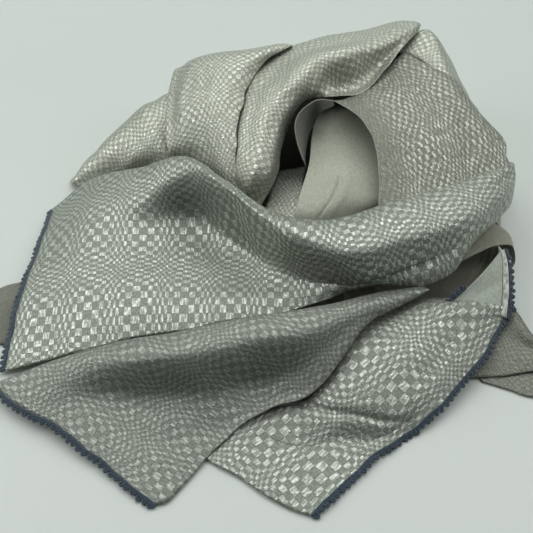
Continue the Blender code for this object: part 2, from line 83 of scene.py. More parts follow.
# The right side's finishes: tone, glint, warmth, how much finer the cells are along and across, how unevenly
# they swell, how loosely the threads lie, and the rate of the glint streaks along and across. The tones are
# painted light and shade: the same silk made lighter or darker piece by piece for how light falls on it,
# darkest on pieces that lie in shade. Glint sets how glossy the satin is, and also how bright the glints
# painted into its colour are.
Face = namedtuple("Face", "tone glint warmth fine swell loose streaks", defaults=((0.45, 0.11),))
FACES = {
    "silk_face": Face(0.83, 1.05, 0.004, (1.0, 1.0), 1.8, 1.0),
    "silk_face_bias": Face(0.71, 0.7, 0.003, (1.2, 1.2), 1.7, 1.5),
    "silk_face_back": Face(1.16, 1.0, 0.013, (1.2, 1.5), 1.5, 2.4, (0.4, 0.12)),
    "silk_face_wall": Face(0.67, 0.95, 0.018, (0.8, 1.9), 1.4, 4.0, (0.1, 0.45)),
    "silk_face_dull_painted_shade": Face(0.60, 0.4, 0.014, (1.4, 2.4), 1.5, 4.0, (0.15, 0.4)),
}

# Finishes of the wrong side: tone and warmth. The tones are painted light and shade: the same silk made
# lighter on the corner and darker on the pieces that lie in shade.
BACKS = {
    "silk_back": (0.95, 0.0),
    "silk_back_painted_shade": (0.42, 0.0),
    "silk_back_fold": (0.95, 0.03),
    "silk_back_painted_dim": (0.66, 0.01),
    "silk_back_corner": (1.12, -0.02),
}

# Stretches whose inside shows the wrong side too; the lip's inside is in painted shade
INSIDES = {"pocket": "silk_back_fold", "curled_lip": "silk_back_painted_shade"}

# The crocheted edging, its yarn and its base strands
HEMS = ("upper_end", "lower_end", "right_end")
INNER_BIT = 0.4
YARN = 1.3
YARN_SIDES = 6
YARN_UPRIGHT = (0.21, 0.13, 0.97)
STRAND_YARN = YARN * 0.75
STRAND_STEP = 0.55
STRAND_TWIST = 3.1
STRAND_OUT = 1.0
STRAND_SWAY = (0.7, 0.6)

# Picots: each loop's place along the hem, reach and radius, and its strays along, out, up and in tilt
PICOT_LOOPS = ((-2.1, 2.9, 1.3), (0.0, 5.3, 1.6), (2.0, 3.1, 1.3))
LOOP_STRAYS = (0.45, 0.5, 0.35, 0.5)
LOOP_POINTS = 11
LOOP_TILT = 0.5
LOOP_WAVE = 0.35
PICOT_PITCH = 7.8
PICOT_STRAY = 0.35

# The finished edges: the side of the stretch that is one, and the width of its sewn hem
SELVEDGE_WIDTH = 1.5
QUIET_BORDER = 45.0
NO_EDGE = 900.0
FINISHED_EDGES = {
    "turned_corner": ("last", 9.0),
    "inner_wall": ("last", 0.0),
    "curled_lip": ("first", 0.0),
}

# The soft unevenness of handled silk: height and length of its waves
RUFFLES = ((0.9, 46.0), (0.35, 17.0))

# How a free edge sways outward and lifts: height, rate and start of its waves
SWING_WAVES = ((1.0, 1.0, 0.0), (0.6, 1.73, 1.1))
LIFT_WAVES = ((1.0, 0.81, 2.0), (0.5, 2.1, 0.0))
LIFT_SHARE = 0.5

# The hidden layers lie lower than their solid: from a height, over a rise, by a depth
HIDDEN_DROPS = ((9.0, 8.0, 4.0), (17.0, 20.0, 12.0))
HIDDEN_LOWEST = 3.0

# Where they lie lower still, under deep cloth: place, how far round it, and depth
DEEP_PLACES = ((-75.0, 12.0, 75.0, 30.0), (114.0, 163.0, 40.0, 16.0), (214.0, -101.0, 60.0, 22.0))
DEEP_REACH = 1.2
DEEP_FROM = 14.0
DEEP_RISE = 16.0

# How a crease is pressed: steps for each point of its path, and how it fades at its ends
CREASE_STEPS = 8
CREASE_FADE = 0.7

# Laying a stretch flat, to find where its threads run
FLAT_ROWS = 30
FLAT_COLUMNS = 18
FLAT_PASSES = 60
LEAST_PULL = 0.05

# The camera, as the photograph was taken, with its distance in metres
CAMERA_DISTANCE = 0.88
CAMERA_ELEVATION = 48.0
CAMERA_TARGET = (0.0, 0.0, 50.0)
CAMERA_LENS = 48.63
CAMERA_SENSOR = 36.0

# The lights, in metres and watts
Light = namedtuple("Light", "place target size power")
LIGHTS = {
    "light_behind": Light((0.0, 1.3, 1.9), (0.0, 0.05, 0.0), (3.0, 2.0), 34),
    "light_overhead": Light((0.0, 0.0, 2.0), (0.0, 0.0, 0.0), (3.0, 1.4), 11),
    "light_left": Light((-1.8, 0.1, 1.2), (0.0, 0.0, 0.05), (1.6, 1.5), 20),
    "light_right": Light((1.8, 0.1, 1.2), (0.0, 0.0, 0.05), (1.6, 1.5), 14),
}
ROOM_COLOUR = (0.93, 0.98, 1.0, 1.0)
ROOM_STRENGTH = 0.05

# The floor, just below the shawl, which curves up into a backdrop
FLOOR_HALF_WIDTH = 3200.0
FLOOR_START = -2600.0
FLOOR_END = 1500.0
FLOOR_BEND = 700.0
BACKDROP_TOP = 2600.0
FLOOR_GAP = 0.4

# Painted shade on the floor: it turns dark in front of the picture, at a distance and over a length in
# metres, so that the front of the shawl reflects darkness there; and it is painted darker towards the back,
# changing at a rate per metre
FLOOR_FRONT = 0.56
FLOOR_FADE = 0.22
FLOOR_CHANGE = 1.2
PAPER_FAR = (0.525, 0.575, 0.540, 1.0)
PAPER_NEAR = (0.665, 0.715, 0.675, 1.0)
PAPER_CLOUD = (0.68, 0.72, 0.69, 1.0)
PAPER_UNLIT = (0.05, 0.055, 0.052, 1.0)

# A stretch of cloth: a row of points for each section, and the radius of the fold behind its first column
Stretch = namedtuple("Stretch", "rows roll", defaults=(None,))
STRETCHES = {}

STRETCHES["upper_end"] = Stretch(roll=(2.5, 5, 7, 7, 7, 9, 11, 11, 10, 7, 5, 3), rows=(
    ((-300, 145, 9), (-299, 104, 13), (-302, 38, 16), (-304, -12, 17),
     (-304, -40, 16), (-303, -82, 12), (-303, -123, 8)),
    ((-241, 180, 36), (-234, 120, 44), (-228, 51, 44), (-223, 0, 40),
     (-222, -28, 37), (-220, -68, 30), (-217, -106, 20)),
    ((-171, 163, 68), (-166, 114, 69), (-165, 71, 46), (-162, 15, 42),
     (-161, -17, 44), (-158, -54, 38), (-155, -92, 28)),
    ((-109, 149, 99), (-100, 118, 100), (-98, 86, 42), (-99, 20, 36),
     (-99, -11, 37), (-98, -49, 38), (-95, -82, 31)),
    ((-56, 95, 106), (-44, 68, 104), (-38, 46, 42), (-38, 3, 36),
     (-38, -17, 37), (-37, -47, 41), (-35, -70, 36)),
    ((7, 31, 109), (20, 0, 107), (28, -11, 67), (37, -24, 52), (39, -32, 49), (40, -44, 47), (42, -58, 41)),
    ((75, 16, 110), (88, -26, 109), (98, -37, 87), (103, -40, 64),
     (106, -38, 65), (109, -40, 61), (114, -37, 56)),
    ((159, 42, 118), (167, -3, 119), (171, -22, 98), (161, -29, 80),
     (164, -20, 79), (172, -33, 70), (182, -38, 58)),
    ((234, 68, 122), (240, 30, 121), (242, 7, 103), (223, -4, 89),
     (224, 4, 86), (224, -10, 76), (224, -19, 60)),
    ((290, 100, 120), (297, 90, 114), (298, 74, 104), (264, 37, 93),
     (266, 45, 86), (263, 33, 78), (259, 33, 62)),
    ((313, 128, 108), (319, 122, 100), (319, 110, 90), (313, 96, 80),
     (311, 93, 74), (304, 83, 68), (291, 69, 58)),
    ((319, 138, 98), (323, 133, 90), (325, 125, 80), (323, 113, 70),
     (323, 110, 62), (319, 101, 56), (307, 90, 52)),
))

STRETCHES["lower_end"] = Stretch(roll=(2.5, 6, 8, 8, 8, 8, 8, 6, 3), rows=(
    ((-307, -142, 9), (-281, -168, 13), (-228, -196, 13), (-176, -233, 7), (-113, -281, 3)),
    ((-231, -127, 34), (-210, -144, 36), (-182, -172, 20), (-146, -206, 11), (-98, -275, 3)),
    ((-162, -118, 52), (-140, -142, 58), (-116, -167, 24), (-93, -201, 10), (-73, -245, 3)),
    ((-94, -114, 66), (-73, -140, 69), (-56, -165, 28), (-46, -190, 12), (-37, -203, 9)),
    ((-34, -104, 74), (-17, -129, 73), (-2, -146, 29), (3, -163, 18), (6, -177, 16)),
    ((27, -94, 76), (41, -117, 75), (50, -134, 48), (53, -153, 34), (52, -164, 27)),
    ((86, -77, 72), (96, -87, 72), (96, -102, 62), (92, -115, 52), (85, -129, 43)),
    ((139, -53, 63), (145, -60, 64), (142, -69, 61), (130, -79, 57), (113, -91, 52)),
    ((186, -39, 57), (191, -43, 58), (186, -47, 57), (178, -52, 56), (168, -58, 55)),
))

STRETCHES["right_end"] = Stretch(roll=(2, 5, 7, 7, 7, 2), rows=(
    ((294, -44, 30), (280, -64, 26), (236, -125, 20), (171, -189, 9),
     (149, -203, 5), (109, -231, 5), (44, -292, 3)),
    ((255, -51, 44), (240, -78, 41), (206, -133, 27), (160, -187, 13),
     (140, -200, 8), (88, -229, 6), (19, -283, 3)),
    ((217, -53.6, 50.3), (199, -86, 47), (175, -141, 31), (136, -191, 20),
     (118, -210, 5), (59, -227, 6), (-11, -265, 3)),
    ((185, -52, 47), (159, -93, 47), (133, -152, 36), (105, -187, 23),
     (80, -208, 5), (31, -220, 6), (-38, -246, 3)),
    ((143, -63, 40), (118, -102, 42), (95, -155, 33), (70, -179, 20),
     (40, -205, 4), (-5, -210, 5), (-64, -230, 3)),
    ((104, -66, 32), (81, -98, 32), (57, -152, 20), (35, -169, 12),
     (6, -171, 6), (-38, -192, 5), (-82, -209, 3)),
))

STRETCHES["turned_corner"] = Stretch(rows=(
    ((214, -59, 46), (253, -61, 40), (285, -62, 27)),
    ((219, -54, 50), (255, -44, 48), (290, -39, 39)),
    ((243, -34, 58), (270, -25, 53), (292, -23, 46)),
    ((270, -6, 64), (283, -1, 61), (293, 2, 56)),
    ((284, 10, 67), (287, 13, 65), (291, 17, 63)),
))

STRETCHES["pocket"] = Stretch(rows=(
    ((214, 10, 47), (214, -5, 51), (212, -18, 53)),
    ((240, 37, 51), (239, 17, 54), (236, 2, 56)),
    ((266, 62, 51), (268, 38, 53), (265, 21, 54)),
    ((292, 82, 46), (300, 58, 49), (292, 35, 51)),
    ((304, 86, 36), (313, 64, 42), (313, 42, 41)),
    ((310, 84, 24), (319, 58, 28), (318, 34, 27)),
    ((313, 80, 1.9), (322, 54, 4), (319, 36, 5)),
))

STRETCHES["right_side"] = Stretch(rows=(
    ((282, 176, 71), (303, 177, 70), (325, 182, 40), (333, 186, 3.2)),
    ((276, 141, 69), (299, 140, 68), (321, 144, 38), (329, 146, 3.2)),
    ((262, 116, 46), (288, 110, 45.5), (312, 108, 28), (321, 106, 3.2)),
    ((276, 102, 34), (299, 98, 33), (314, 96, 20), (319, 94, 3.2)),
))

STRETCHES["right_tail_upper"] = Stretch(roll=(4, 4, 4, 3), rows=(
    ((280, -20, 17), (262, -64, 12.2), (228, -130, 3.2)),
    ((298, -42, 20), (287, -86, 12.2), (268, -129, 4)),
    ((312, -79, 18), (311, -99, 13), (307, -123, 6)),
    ((331, -102, 13), (334, -112, 9), (335, -123, 5)),
))

STRETCHES["right_tail_lower"] = Stretch(rows=(
    ((240, -112, 1.6), (247, -134, 1.8)),
    ((275, -118, 2.4), (275, -145, 1.6)),
    ((311, -116, 2.8), (301, -155, 1.6)),
    ((338, -124, 1.8), (330, -149, 1.6)),
))

STRETCHES["left_under_layer"] = Stretch(rows=(
    ((-250, 22, 3.6), (-248, -30, 7), (-246, -86, 3)),
    ((-300, 14, 8), (-296, -30, 9), (-292, -80, 3)),
    ((-340, 0, 7), (-336, -34, 8), (-330, -80, 2)),
    ((-358, -18, 3), (-356, -40, 4), (-352, -68, 2)),
))

STRETCHES["back_left_fold"] = Stretch(rows=(
    ((-262, 188, 5), (-272, 194, 9), (-281, 198, 11), (-284, 204, 7), (-287, 210, 3)),
    ((-206, 192, 21), (-221, 201, 36), (-248, 221, 42), (-260, 238, 26), (-268, 252, 3)),
    ((-158, 186, 44), (-172, 199, 62), (-200, 255, 77), (-213, 286, 44), (-224, 308, 3)),
    ((-126, 180, 56), (-142, 196, 76), (-162, 272, 101), (-176, 316, 58), (-187, 348, 3)),
    ((-106, 190, 50), (-112, 212, 73), (-123, 300, 98), (-131, 346, 56), (-138, 380, 4)),
))

STRETCHES["second_fold"] = Stretch(roll=(3, 5, 7, 7, 7, 6, 5, 3), rows=(
    ((-120, 174, 66), (-100, 166, 70), (-78, 146, 72), (-56, 116, 74), (-41, 101, 74)),
    ((-128, 182, 88), (-106, 176, 98), (-80, 166, 105), (-57, 146, 107), (-42, 130, 106)),
    ((-132, 221, 108), (-113, 210, 126), (-81, 202, 136), (-53, 193, 138), (-37, 182, 134)),
    ((-132, 267, 120), (-113, 257, 138), (-77, 255, 152), (-42, 252, 157), (-14, 262, 154)),
    ((-127, 317, 124), (-105, 307, 144), (-67, 300, 158), (-23, 296, 165), (33, 311, 170)),
    ((-131, 346, 98), (-105, 345, 118), (-65, 345, 130), (-20, 348, 136), (35, 356, 140)),
    ((-140, 378, 52), (-108, 387, 66), (-62, 394, 74), (-15, 398, 80), (48, 408, 84)),
    ((-148, 396, 10), (-112, 410, 10), (-62, 420, 10), (-10, 427, 10), (58, 437, 10)),
))

STRETCHES["hood"] = Stretch(roll=(2, 4, 5, 5, 6, 7, 9, 10, 9, 6, 2.5), rows=(
    ((-46, 112, 54), (-38, 102, 64), (-29, 94, 69), (-21, 89, 67), (-13, 85, 60)),
    ((-50, 130, 82), (-33, 117, 97), (-14, 106, 106), (2, 109, 101), (13, 121, 88)),
    ((-52, 154, 100), (-31, 143, 116), (-3, 138, 126), (12, 146, 118), (19, 162, 98)),
    ((-52, 178, 112), (-27, 169, 128), (2, 168, 138), (19, 176, 128), (27, 192, 106)),
    ((-44, 206, 124), (-18, 200, 141), (17, 194, 150), (33, 198, 140), (36, 212, 118)),
    ((-23, 261, 144), (7, 252, 156), (44, 223, 167), (56, 224, 146), (54, 232, 130)),
    ((19, 309, 156), (43, 287, 166), (71, 253, 175), (87, 242, 142), (95, 229, 138)),
    ((72, 328, 164), (93, 300, 172), (115, 271, 179), (124, 249, 145), (128, 231, 143)),
    ((139, 344, 168), (149, 319, 176), (160, 293, 176), (162, 285, 158), (162, 266, 159)),
    ((198, 362, 173), (205, 348, 178), (209, 337, 178), (203, 325, 173), (199, 318, 168)),
    ((214, 362, 172), (217, 355, 174), (219, 350, 174), (217, 345, 172), (215, 341, 170)),
))

STRETCHES["back_panel"] = Stretch(rows=(
    ((10, 300, 134), (15, 326, 138), (18, 350, 118), (22, 384, 62), (28, 412, 6)),
    ((70, 312, 138), (78, 336, 142), (85, 362, 122), (95, 400, 66), (105, 432, 6)),
    ((130, 322, 142), (138, 344, 146), (146, 372, 126), (158, 408, 68), (170, 436, 6)),
    ((182, 314, 152), (196, 346, 156), (208, 372, 134), (222, 402, 70), (238, 426, 6)),
    ((202, 300, 155), (227, 340, 172), (248, 358, 140), (270, 384, 72), (288, 404, 6)),
    ((217, 284, 155), (237, 302, 166), (266, 318, 134), (298, 336, 68), (316, 350, 6)),
    ((232, 258, 151), (244, 268, 157), (274, 280, 126), (306, 298, 64), (326, 310, 6)),
    ((244, 238, 126), (255, 239, 138), (284, 248, 112), (314, 264, 60), (334, 272, 6)),
    ((254, 200, 120), (268, 200, 128), (298, 212, 102), (322, 226, 56), (340, 234, 6)),
    ((274, 176, 110), (288, 178, 118), (314, 190, 92), (332, 200, 50), (344, 206, 6)),
    ((298, 162, 96), (308, 163, 102), (326, 168, 78), (337, 176, 42), (345, 180, 6)),
))

STRETCHES["inner_wall"] = Stretch(roll=(3, 5, 7, 8, 7, 5, 3, 2), rows=(
    ((192, 306, 156), (168, 284, 150), (138, 250, 142), (106, 226, 136), (89, 207, 146)),
    ((216, 272, 160), (202, 256, 158), (171, 233, 154), (136, 209, 149), (109, 189, 144)),
    ((246, 234, 160), (224, 209, 158), (192, 191, 154), (156, 175, 148), (125, 164, 142)),
    ((264, 183, 152), (240, 174, 155), (202, 151, 152), (165, 140, 145), (134, 135, 138)),
    ((284, 161, 141), (253, 140, 142), (210, 118, 140), (171, 108, 134), (138, 108, 128)),
    ((300, 140, 131), (264, 116, 131), (215, 91, 128), (174, 79, 122), (138, 78, 116)),
    ((300, 122, 124), (263, 97, 123), (216, 70, 119), (175, 56, 113), (136, 52, 106)),
    ((301, 106, 118), (255, 83, 117), (211, 57, 114), (170, 44, 108), (136, 42, 100)),
))

STRETCHES["curled_lip"] = Stretch(rows=(
    ((88.6, 208.2, 146), (89, 206, 143), (89, 204, 140)),
    ((72, 211, 146), (74, 209, 138), (74, 207, 128)),
    ((57, 206, 143), (60, 212, 121), (64, 214, 100)),
    ((44, 196, 137), (52, 200, 114), (58, 202, 94)),
    ((37, 183, 127), (47, 184, 106), (54, 184, 88)),
    ((39, 168, 113), (47, 166, 97), (52, 165, 83)),
    ((48, 146, 96), (51, 147, 87), (54, 148, 78)),
))

STRETCHES["inner_tongue"] = Stretch(rows=(
    ((73, 225, 94), (87, 226, 100), (106, 224, 104), (124, 215, 104), (144, 201, 100)),
    ((71, 242, 98), (89, 248, 105), (109, 245, 109), (130, 232, 108), (151, 214, 105)),
    ((62, 200, 97), (83, 202, 104), (109, 199, 106), (131, 187, 104), (152, 170, 100)),
    ((56, 145, 94), (78, 146, 100), (103, 145, 104), (129, 140, 103), (152, 133, 99)),
    ((45, 96, 92), (70, 95, 100), (97, 90, 106), (124, 90, 104), (150, 92, 98)),
    ((35, 58, 86), (61, 50, 91), (93, 57, 94), (123, 61, 93), (148, 68, 88)),
    ((30, 48, 74), (60, 40, 76), (93, 46, 78), (123, 56, 79), (148, 66, 76)),
))

STRETCHES["hollow_patch"] = Stretch(rows=(
    ((17, 170, 57), (54, 177, 60)),
    ((5, 122, 61), (48, 127, 66)),
    ((-8, 66, 58), (41, 56, 68)),
))
# Creases of each stretch: path as percents of its length and width, half width, and height over the cloth
CREASES = {
    "upper_end": (
        (((100, 75), (84, 54), (77, 57), (70, 58)), 7, -3),
        (((99, 95), (86, 86), (79, 91)), 6, -2.5),
        (((88, 36), (82, 32), (74, 38), (68, 34)), 9, 1.6),
        (((16, 18), (15, 46), (14, 78)), 22, -1.8),
        (((22, 4), (29, 20), (36, 19), (45, 20)), 8, 1.2),
        (((29, 39), (35, 58), (45, 71)), 26, -3),
        (((0, 36), (6, 49), (11, 64)), 7, -0.9),
        (((2, 74), (7, 77), (13, 82)), 9, 0.9),
        (((53, 25), (57, 33), (62, 36)), 8, -1.5),
    ),
    "lower_end": (
        (((8, 39), (18, 57), (35, 53), (50, 54), (62, 57)), 20, -2.5),
        (((93, 97), (77, 56), (69, 57)), 8, -2),
        (((9, 71), (18, 81), (35, 83)), 11, -1.2),
        (((47, 32), (48, 46), (45, 65)), 9, 1.2),
    ),
    "right_end": (
        (((81, 90), (44, 94), (15, 96)), 9, 1.6),
        (((21, 16), (29, 29), (39, 40)), 11, -1.8),
        (((71, 63), (42, 68), (19, 63)), 10, 1.5),
        (((73, 73), (25, 84), (5, 84)), 8, -1),
        (((130, 52), (80, 53.5), (57, 53.5), (36, 54), (10, 55)), 4.5, -4),
    ),
    "turned_corner": (
        (((18, 0), (52, 0), (85, 0)), 5, 1.2),
        (((5, 31), (25, 53), (55, 83)), 6, -1.4),
    ),
    "second_fold": (
        (((43, 36), (18, 33), (1, 36)), 9, -2),
        (((45, 58), (22, 56), (5, 62)), 8, 1.6),
        (((41, 89), (27, 80), (10, 80)), 7, -1.8),
        (((35, 23), (20, 17), (6, 22)), 6, 1),
        (((90, 10), (93, 50), (90, 90)), 12, -3.5),
    ),
    "back_left_fold": (
        (((78, 71), (53, 86), (13, 32)), 9, -2.2),
        (((83, 27), (55, 18), (18, 4)), 8, 1.6),
        (((75, 14), (52, 4), (32, 0)), 6, -1.4),
        (((85, 10), (80, 50), (84, 90)), 12, -4),
    ),
    "hood": (
        (((25, 100), (41, 92), (52, 74), (63, 68), (82, 67)), 7, 2.4),
        (((37, 64), (21, 72), (8, 75)), 7, -2),
        (((54, 86), (66, 84), (83, 90)), 15, -5),
        (((40, 35), (25, 43), (10, 50)), 8, -1.6),
        (((52, 50), (35, 61), (25, 72)), 6, 1.2),
        (((90, 15), (93, 50), (90, 85)), 11, -3),
    ),
    "inner_wall": (
        (((29, 64), (27, 43), (25, 0)), 1.6, 1.7),
        (((35, 65), (32, 44), (33, 21)), 1.6, 1.7),
        (((32, 24), (52, 60), (81, 85)), 9, -2),
        (((45, 24), (68, 40), (93, 58)), 9, 1.6),
        (((4, 26), (14, 64), (27, 92)), 7, -1.4),
        (((71, 21), (83, 36), (100, 39)), 8, -1.8),
    ),
    "inner_tongue": (
        (((63, 44), (83, 38), (97, 23)), 1.7, -3.4),
        (((60, 54), (85, 48), (97, 33)), 5, 1.6),
        (((2, 15), (50, 8), (82, 4)), 9, -1.5),
    ),
    "back_panel": (
        (((6, 15), (8, 50), (5, 95)), 16, -5),
        (((17, 30), (20, 65), (18, 100)), 13, 4),
        (((27, 10), (31, 45), (35, 80)), 15, -6),
        (((42, 35), (43, 70), (46, 100)), 12, 3.5),
        (((52, 5), (56, 40), (55, 75)), 14, -5.5),
        (((64, 30), (67, 60), (71, 95)), 16, -4.5),
        (((76, 10), (80, 50), (79, 85)), 11, 3),
        (((88, 20), (90, 60), (93, 100)), 13, -4),
    ),
    "pocket": (
        (((12, 20), (40, 50), (80, 45)), 6, -1.2),
    ),
    "right_side": (
        (((10, 40), (50, 55), (90, 40)), 10, -2),
    ),
    "right_tail_upper": (
        (((10, 40), (50, 50), (95, 35)), 9, -1.5),
    ),
    "left_under_layer": (
        (((10, 50), (50, 60), (90, 40)), 10, -1.2),
    ),
}

# Free edges: side, width of the band that moves, how far it sinks, how far and how often it sways
Edge = namedtuple("Edge", "stretch side band sink sway pitch")
EDGES = (
    Edge("second_fold", "last", 26, 5.5, 1.2, 58),
    Edge("hood", "last", 18, 0.0, 0.7, 62),
    Edge("inner_wall", "last", 16, 0.0, 0.3, 55),
    Edge("upper_end", "last", 30, 1.5, 0.8, 95),
    Edge("upper_end", "start", 26, 0.5, 0.6, 58),
    Edge("lower_end", "last", 26, 0.5, 0.9, 83),
    Edge("lower_end", "start", 24, 0.3, 0.7, 64),
    Edge("right_end", "last", 24, 0.3, 0.7, 88),
    Edge("right_end", "start", 24, 0.3, 0.9, 71),
    Edge("back_left_fold", "last", 20, 0.0, 1.5, 60),
    Edge("back_panel", "last", 24, 0.0, 2.4, 75),
)

# How each stretch is laid: fine steps, the finish of the side that shows, the cut of what shows in metres,
# the side's outlook, where its weave starts along and across the cloth, how it is held, and what it lies on
Lay = namedtuple("Lay", "steps side flat looks weave held rests_on",
                 defaults=("forward", (0, 0), "draped", "hidden_layers"))
LAYS = {
    "upper_end": Lay((176, 96), "silk_face", (0.213, 0.736), weave=(-8, -15)),
    "lower_end": Lay((120, 72), "silk_face_bias", (0.148, 0.461), weave=(0, 250)),
    "right_end": Lay((96, 100), "silk_face", (0.160, 0.325), held="laid"),
    "turned_corner": Lay((60, 48), "silk_back_corner", (0.048, 0.090),
        held="folded", rests_on="cloth_right_end"),
    "pocket": Lay((60, 24), "silk_back_painted_dim", (0.043, 0.163), looks="outward", held="folded"),
    "right_side": Lay((28, 28), "silk_back_painted_dim", (0.091, 0.095), looks="outward"),
    "right_tail_upper": Lay((30, 30), "silk_face_dull_painted_shade", (0.084, 0.094), weave=(0, 120), held="laid"),
    "right_tail_lower": Lay((30, 12), "silk_face_dull_painted_shade", (0.031, 0.093), weave=(0, 60), held="laid"),
    "left_under_layer": Lay((36, 30), "silk_back_painted_shade", (0.090, 0.111), held="laid"),
    "back_left_fold": Lay((60, 56), "silk_face_back", (0.167, 0.206), looks="outward", weave=(30, 40)),
    "second_fold": Lay((110, 64), "silk_face_back", (0.172, 0.385), looks="outward", weave=(20, 90)),
    "hood": Lay((110, 72), "silk_face_back", (0.126, 0.426), weave=(0, 10)),
    "back_panel": Lay((110, 56), "silk_face_back", (0.195, 0.464), looks="outward", weave=(0, 64)),
    "inner_wall": Lay((140, 110), "silk_face_wall", (0.169, 0.229), weave=(0, 30)),
    "curled_lip": Lay((60, 20), "silk_back_painted_shade", (0.033, 0.117),
        held="folded", rests_on="cloth_inner_tongue"),
    "inner_tongue": Lay((120, 90), "silk_back", (0.103, 0.223)),
    "hollow_patch": Lay((24, 12), "silk_face_back", (0.044, 0.114), weave=(0, 64)),
}


def smooth_curve(points, knots, places):
    """A smooth curve through points at the knots, read at some places."""
    if len(points) > 2:
        slopes = np.gradient(points, knots, axis=0)
    else:
        slopes = np.repeat(np.diff(points, axis=0) / np.diff(knots), 2, axis=0)
    first = np.clip(np.searchsorted(knots, places, side="right") - 1, 0, len(knots) - 2)
    span = knots[first + 1] - knots[first]
    shape = (-1,) + (1,) * (points.ndim - 1)
    t = ((places - knots[first]) / span).reshape(shape)
    span = span.reshape(shape)
    share = 3 * t**2 - 2 * t**3
    start = points[first] * (1 - share) + slopes[first] * span * (t**3 - 2 * t**2 + t)
    end = points[first + 1] * share + slopes[first + 1] * span * (t**3 - t**2)
    return start + end


def through(points, steps):
    """A smooth curve through the first axis of points, sampled at even steps."""
    gaps = np.linalg.norm(np.diff(points, axis=0), axis=-1)
    gaps = gaps.reshape(len(gaps), -1).mean(axis=1)
    knots = np.concatenate(([0.0], np.cumsum(gaps)))
    return smooth_curve(points, knots, np.linspace(0.0, knots[-1], steps + 1))


def unit(vectors):
    """Vectors of length 1, in the same directions."""
    return vectors / np.maximum(np.linalg.norm(vectors, axis=-1, keepdims=True), TINY)


def lengths(points, axis=0):
    """Length along a line of points from its start, or along one axis of a grid."""
    steps = np.linalg.norm(np.diff(points, axis=axis), axis=-1)
    run = np.cumsum(steps, axis=axis)
    start = np.zeros_like(np.take(run, [0], axis=axis))
    return np.concatenate([start, run], axis=axis)


def roll_columns(first, second, radius):
    """Points of the fold that turns the cloth under behind its first column."""
    along = np.gradient(first, axis=0)
    back = unit(np.stack([-along[:, 1], along[:, 0], np.zeros(len(first))], axis=1))
    back *= np.sign(np.sum(back * (first - second), axis=1, keepdims=True))
    up = np.array([0.0, 0.0, 1.0])
    radius = np.array(radius, dtype=float)[:, None]
    columns = []
    for angle in ROLL_ANGLES:
        turn = math.radians(angle)
        columns.append(first + radius * (math.sin(turn) * back - (1 - math.cos(turn)) * up))
    return columns


def sheet_grid(stretch, steps):
    """The fine grid of a stretch, and how many of its columns lie in the fold behind the first one."""
    table = np.array(stretch.rows, dtype=float)
    columns = list(table.transpose(1, 0, 2))
    if stretch.roll:
        columns = roll_columns(columns[0], columns[1], stretch.roll) + columns
    grid = through(np.stack(columns, axis=1), steps[0])
    grid = through(grid.transpose(1, 0, 2), steps[1]).transpose(1, 0, 2)
    first = int(np.argmin(np.linalg.norm(grid[0] - table[0, 0], axis=1))) if stretch.roll else 0
    return grid + TABLE_ORIGIN, first


def grid_faces(rows, columns):
    """The faces of a grid of points."""
    faces = []
    for row in range(rows - 1):
        for column in range(columns - 1):
            corner = row * columns + column
            faces.append((corner, corner + 1, corner + columns + 1, corner + columns))
    return faces


def normals_of(grid):
    """The direction square to the cloth at each point."""
    return unit(np.cross(np.gradient(grid, axis=1), np.gradient(grid, axis=0)))


def waves(phase, parts):
    """Waves added up: the height, the rate and the start of each."""
    return sum(height * np.sin(rate * phase + start) for height, rate, start in parts)[:, None, None]


def sway_edge(grid, edge):
    """Moves a band along one side of the stretch, as a free edge of light cloth does."""
    crosswise = edge.side in ("start", "end")
    is_last = edge.side in ("last", "end")
    turned = grid.transpose(1, 0, 2) if crosswise else grid
    distance = lengths(turned, 1)
    if is_last:
        distance = distance[:, -1:] - distance
    border = turned[:, -1] if is_last else turned[:, 0]
    weight = np.clip(1 - distance / edge.band, 0.0, 1.0)[..., None] ** 2
    upward = normals_of(grid)
    if crosswise:
        upward = upward.transpose(1, 0, 2)
    upward = upward * np.sign(upward[..., 2:3] + TINY)
    across = unit(np.gradient(turned, axis=1))
    outward = across if is_last else -across
    phase = 2 * math.pi * lengths(border) / edge.pitch
    swing = waves(phase, SWING_WAVES) * edge.sway
    lift = waves(phase, LIFT_WAVES) * edge.sway * LIFT_SHARE
    moved = turned + weight * (outward * swing + upward * (np.maximum(lift, 0.0) - edge.sink))
    return moved.transpose(1, 0, 2) if crosswise else moved


def press_crease(grid, path, width, height, side):
    """Presses a soft trough, or raises a ridge, that fades out at the ends of its path."""
    rows, columns = grid.shape[:2]
    steps = CREASE_STEPS * len(path)
    path = np.clip(through(np.array(path) / 100.0, steps), 0.0, 1.0)
    place_row = path[:, 0] * (rows - 1)
    place_column = path[:, 1] * (columns - 1)
    low_row = np.minimum(place_row.astype(int), rows - 2)
    low_column = np.minimum(place_column.astype(int), columns - 2)
    part_row = (place_row - low_row)[:, None]
    part_column = (place_column - low_column)[:, None]
    near = grid[low_row, low_column] * (1 - part_column) + grid[low_row, low_column + 1] * part_column
    low_row = low_row + 1
    far = grid[low_row, low_column] * (1 - part_column) + grid[low_row, low_column + 1] * part_column
    line = near * (1 - part_row) + far * part_row
    distance = np.linalg.norm(grid[:, :, None] - line, axis=3)
    share = distance.argmin(axis=2) / steps
    fade = np.sin(math.pi * share) ** CREASE_FADE
    depth = height * fade * np.exp(-((distance.min(axis=2) / width) ** 2))
    return grid + side * depth[..., None] * normals_of(grid)


def ruffle(grid, side):
    """Small soft unevenness all over, as handled silk has."""
    depth = np.empty(grid.shape[:2])
    for place in np.ndindex(depth.shape):
        point = Vector(grid[place])
        depth[place] = sum(height * noise.noise(point / length) for height, length in RUFFLES)
    return grid + side * depth[..., None] * normals_of(grid)


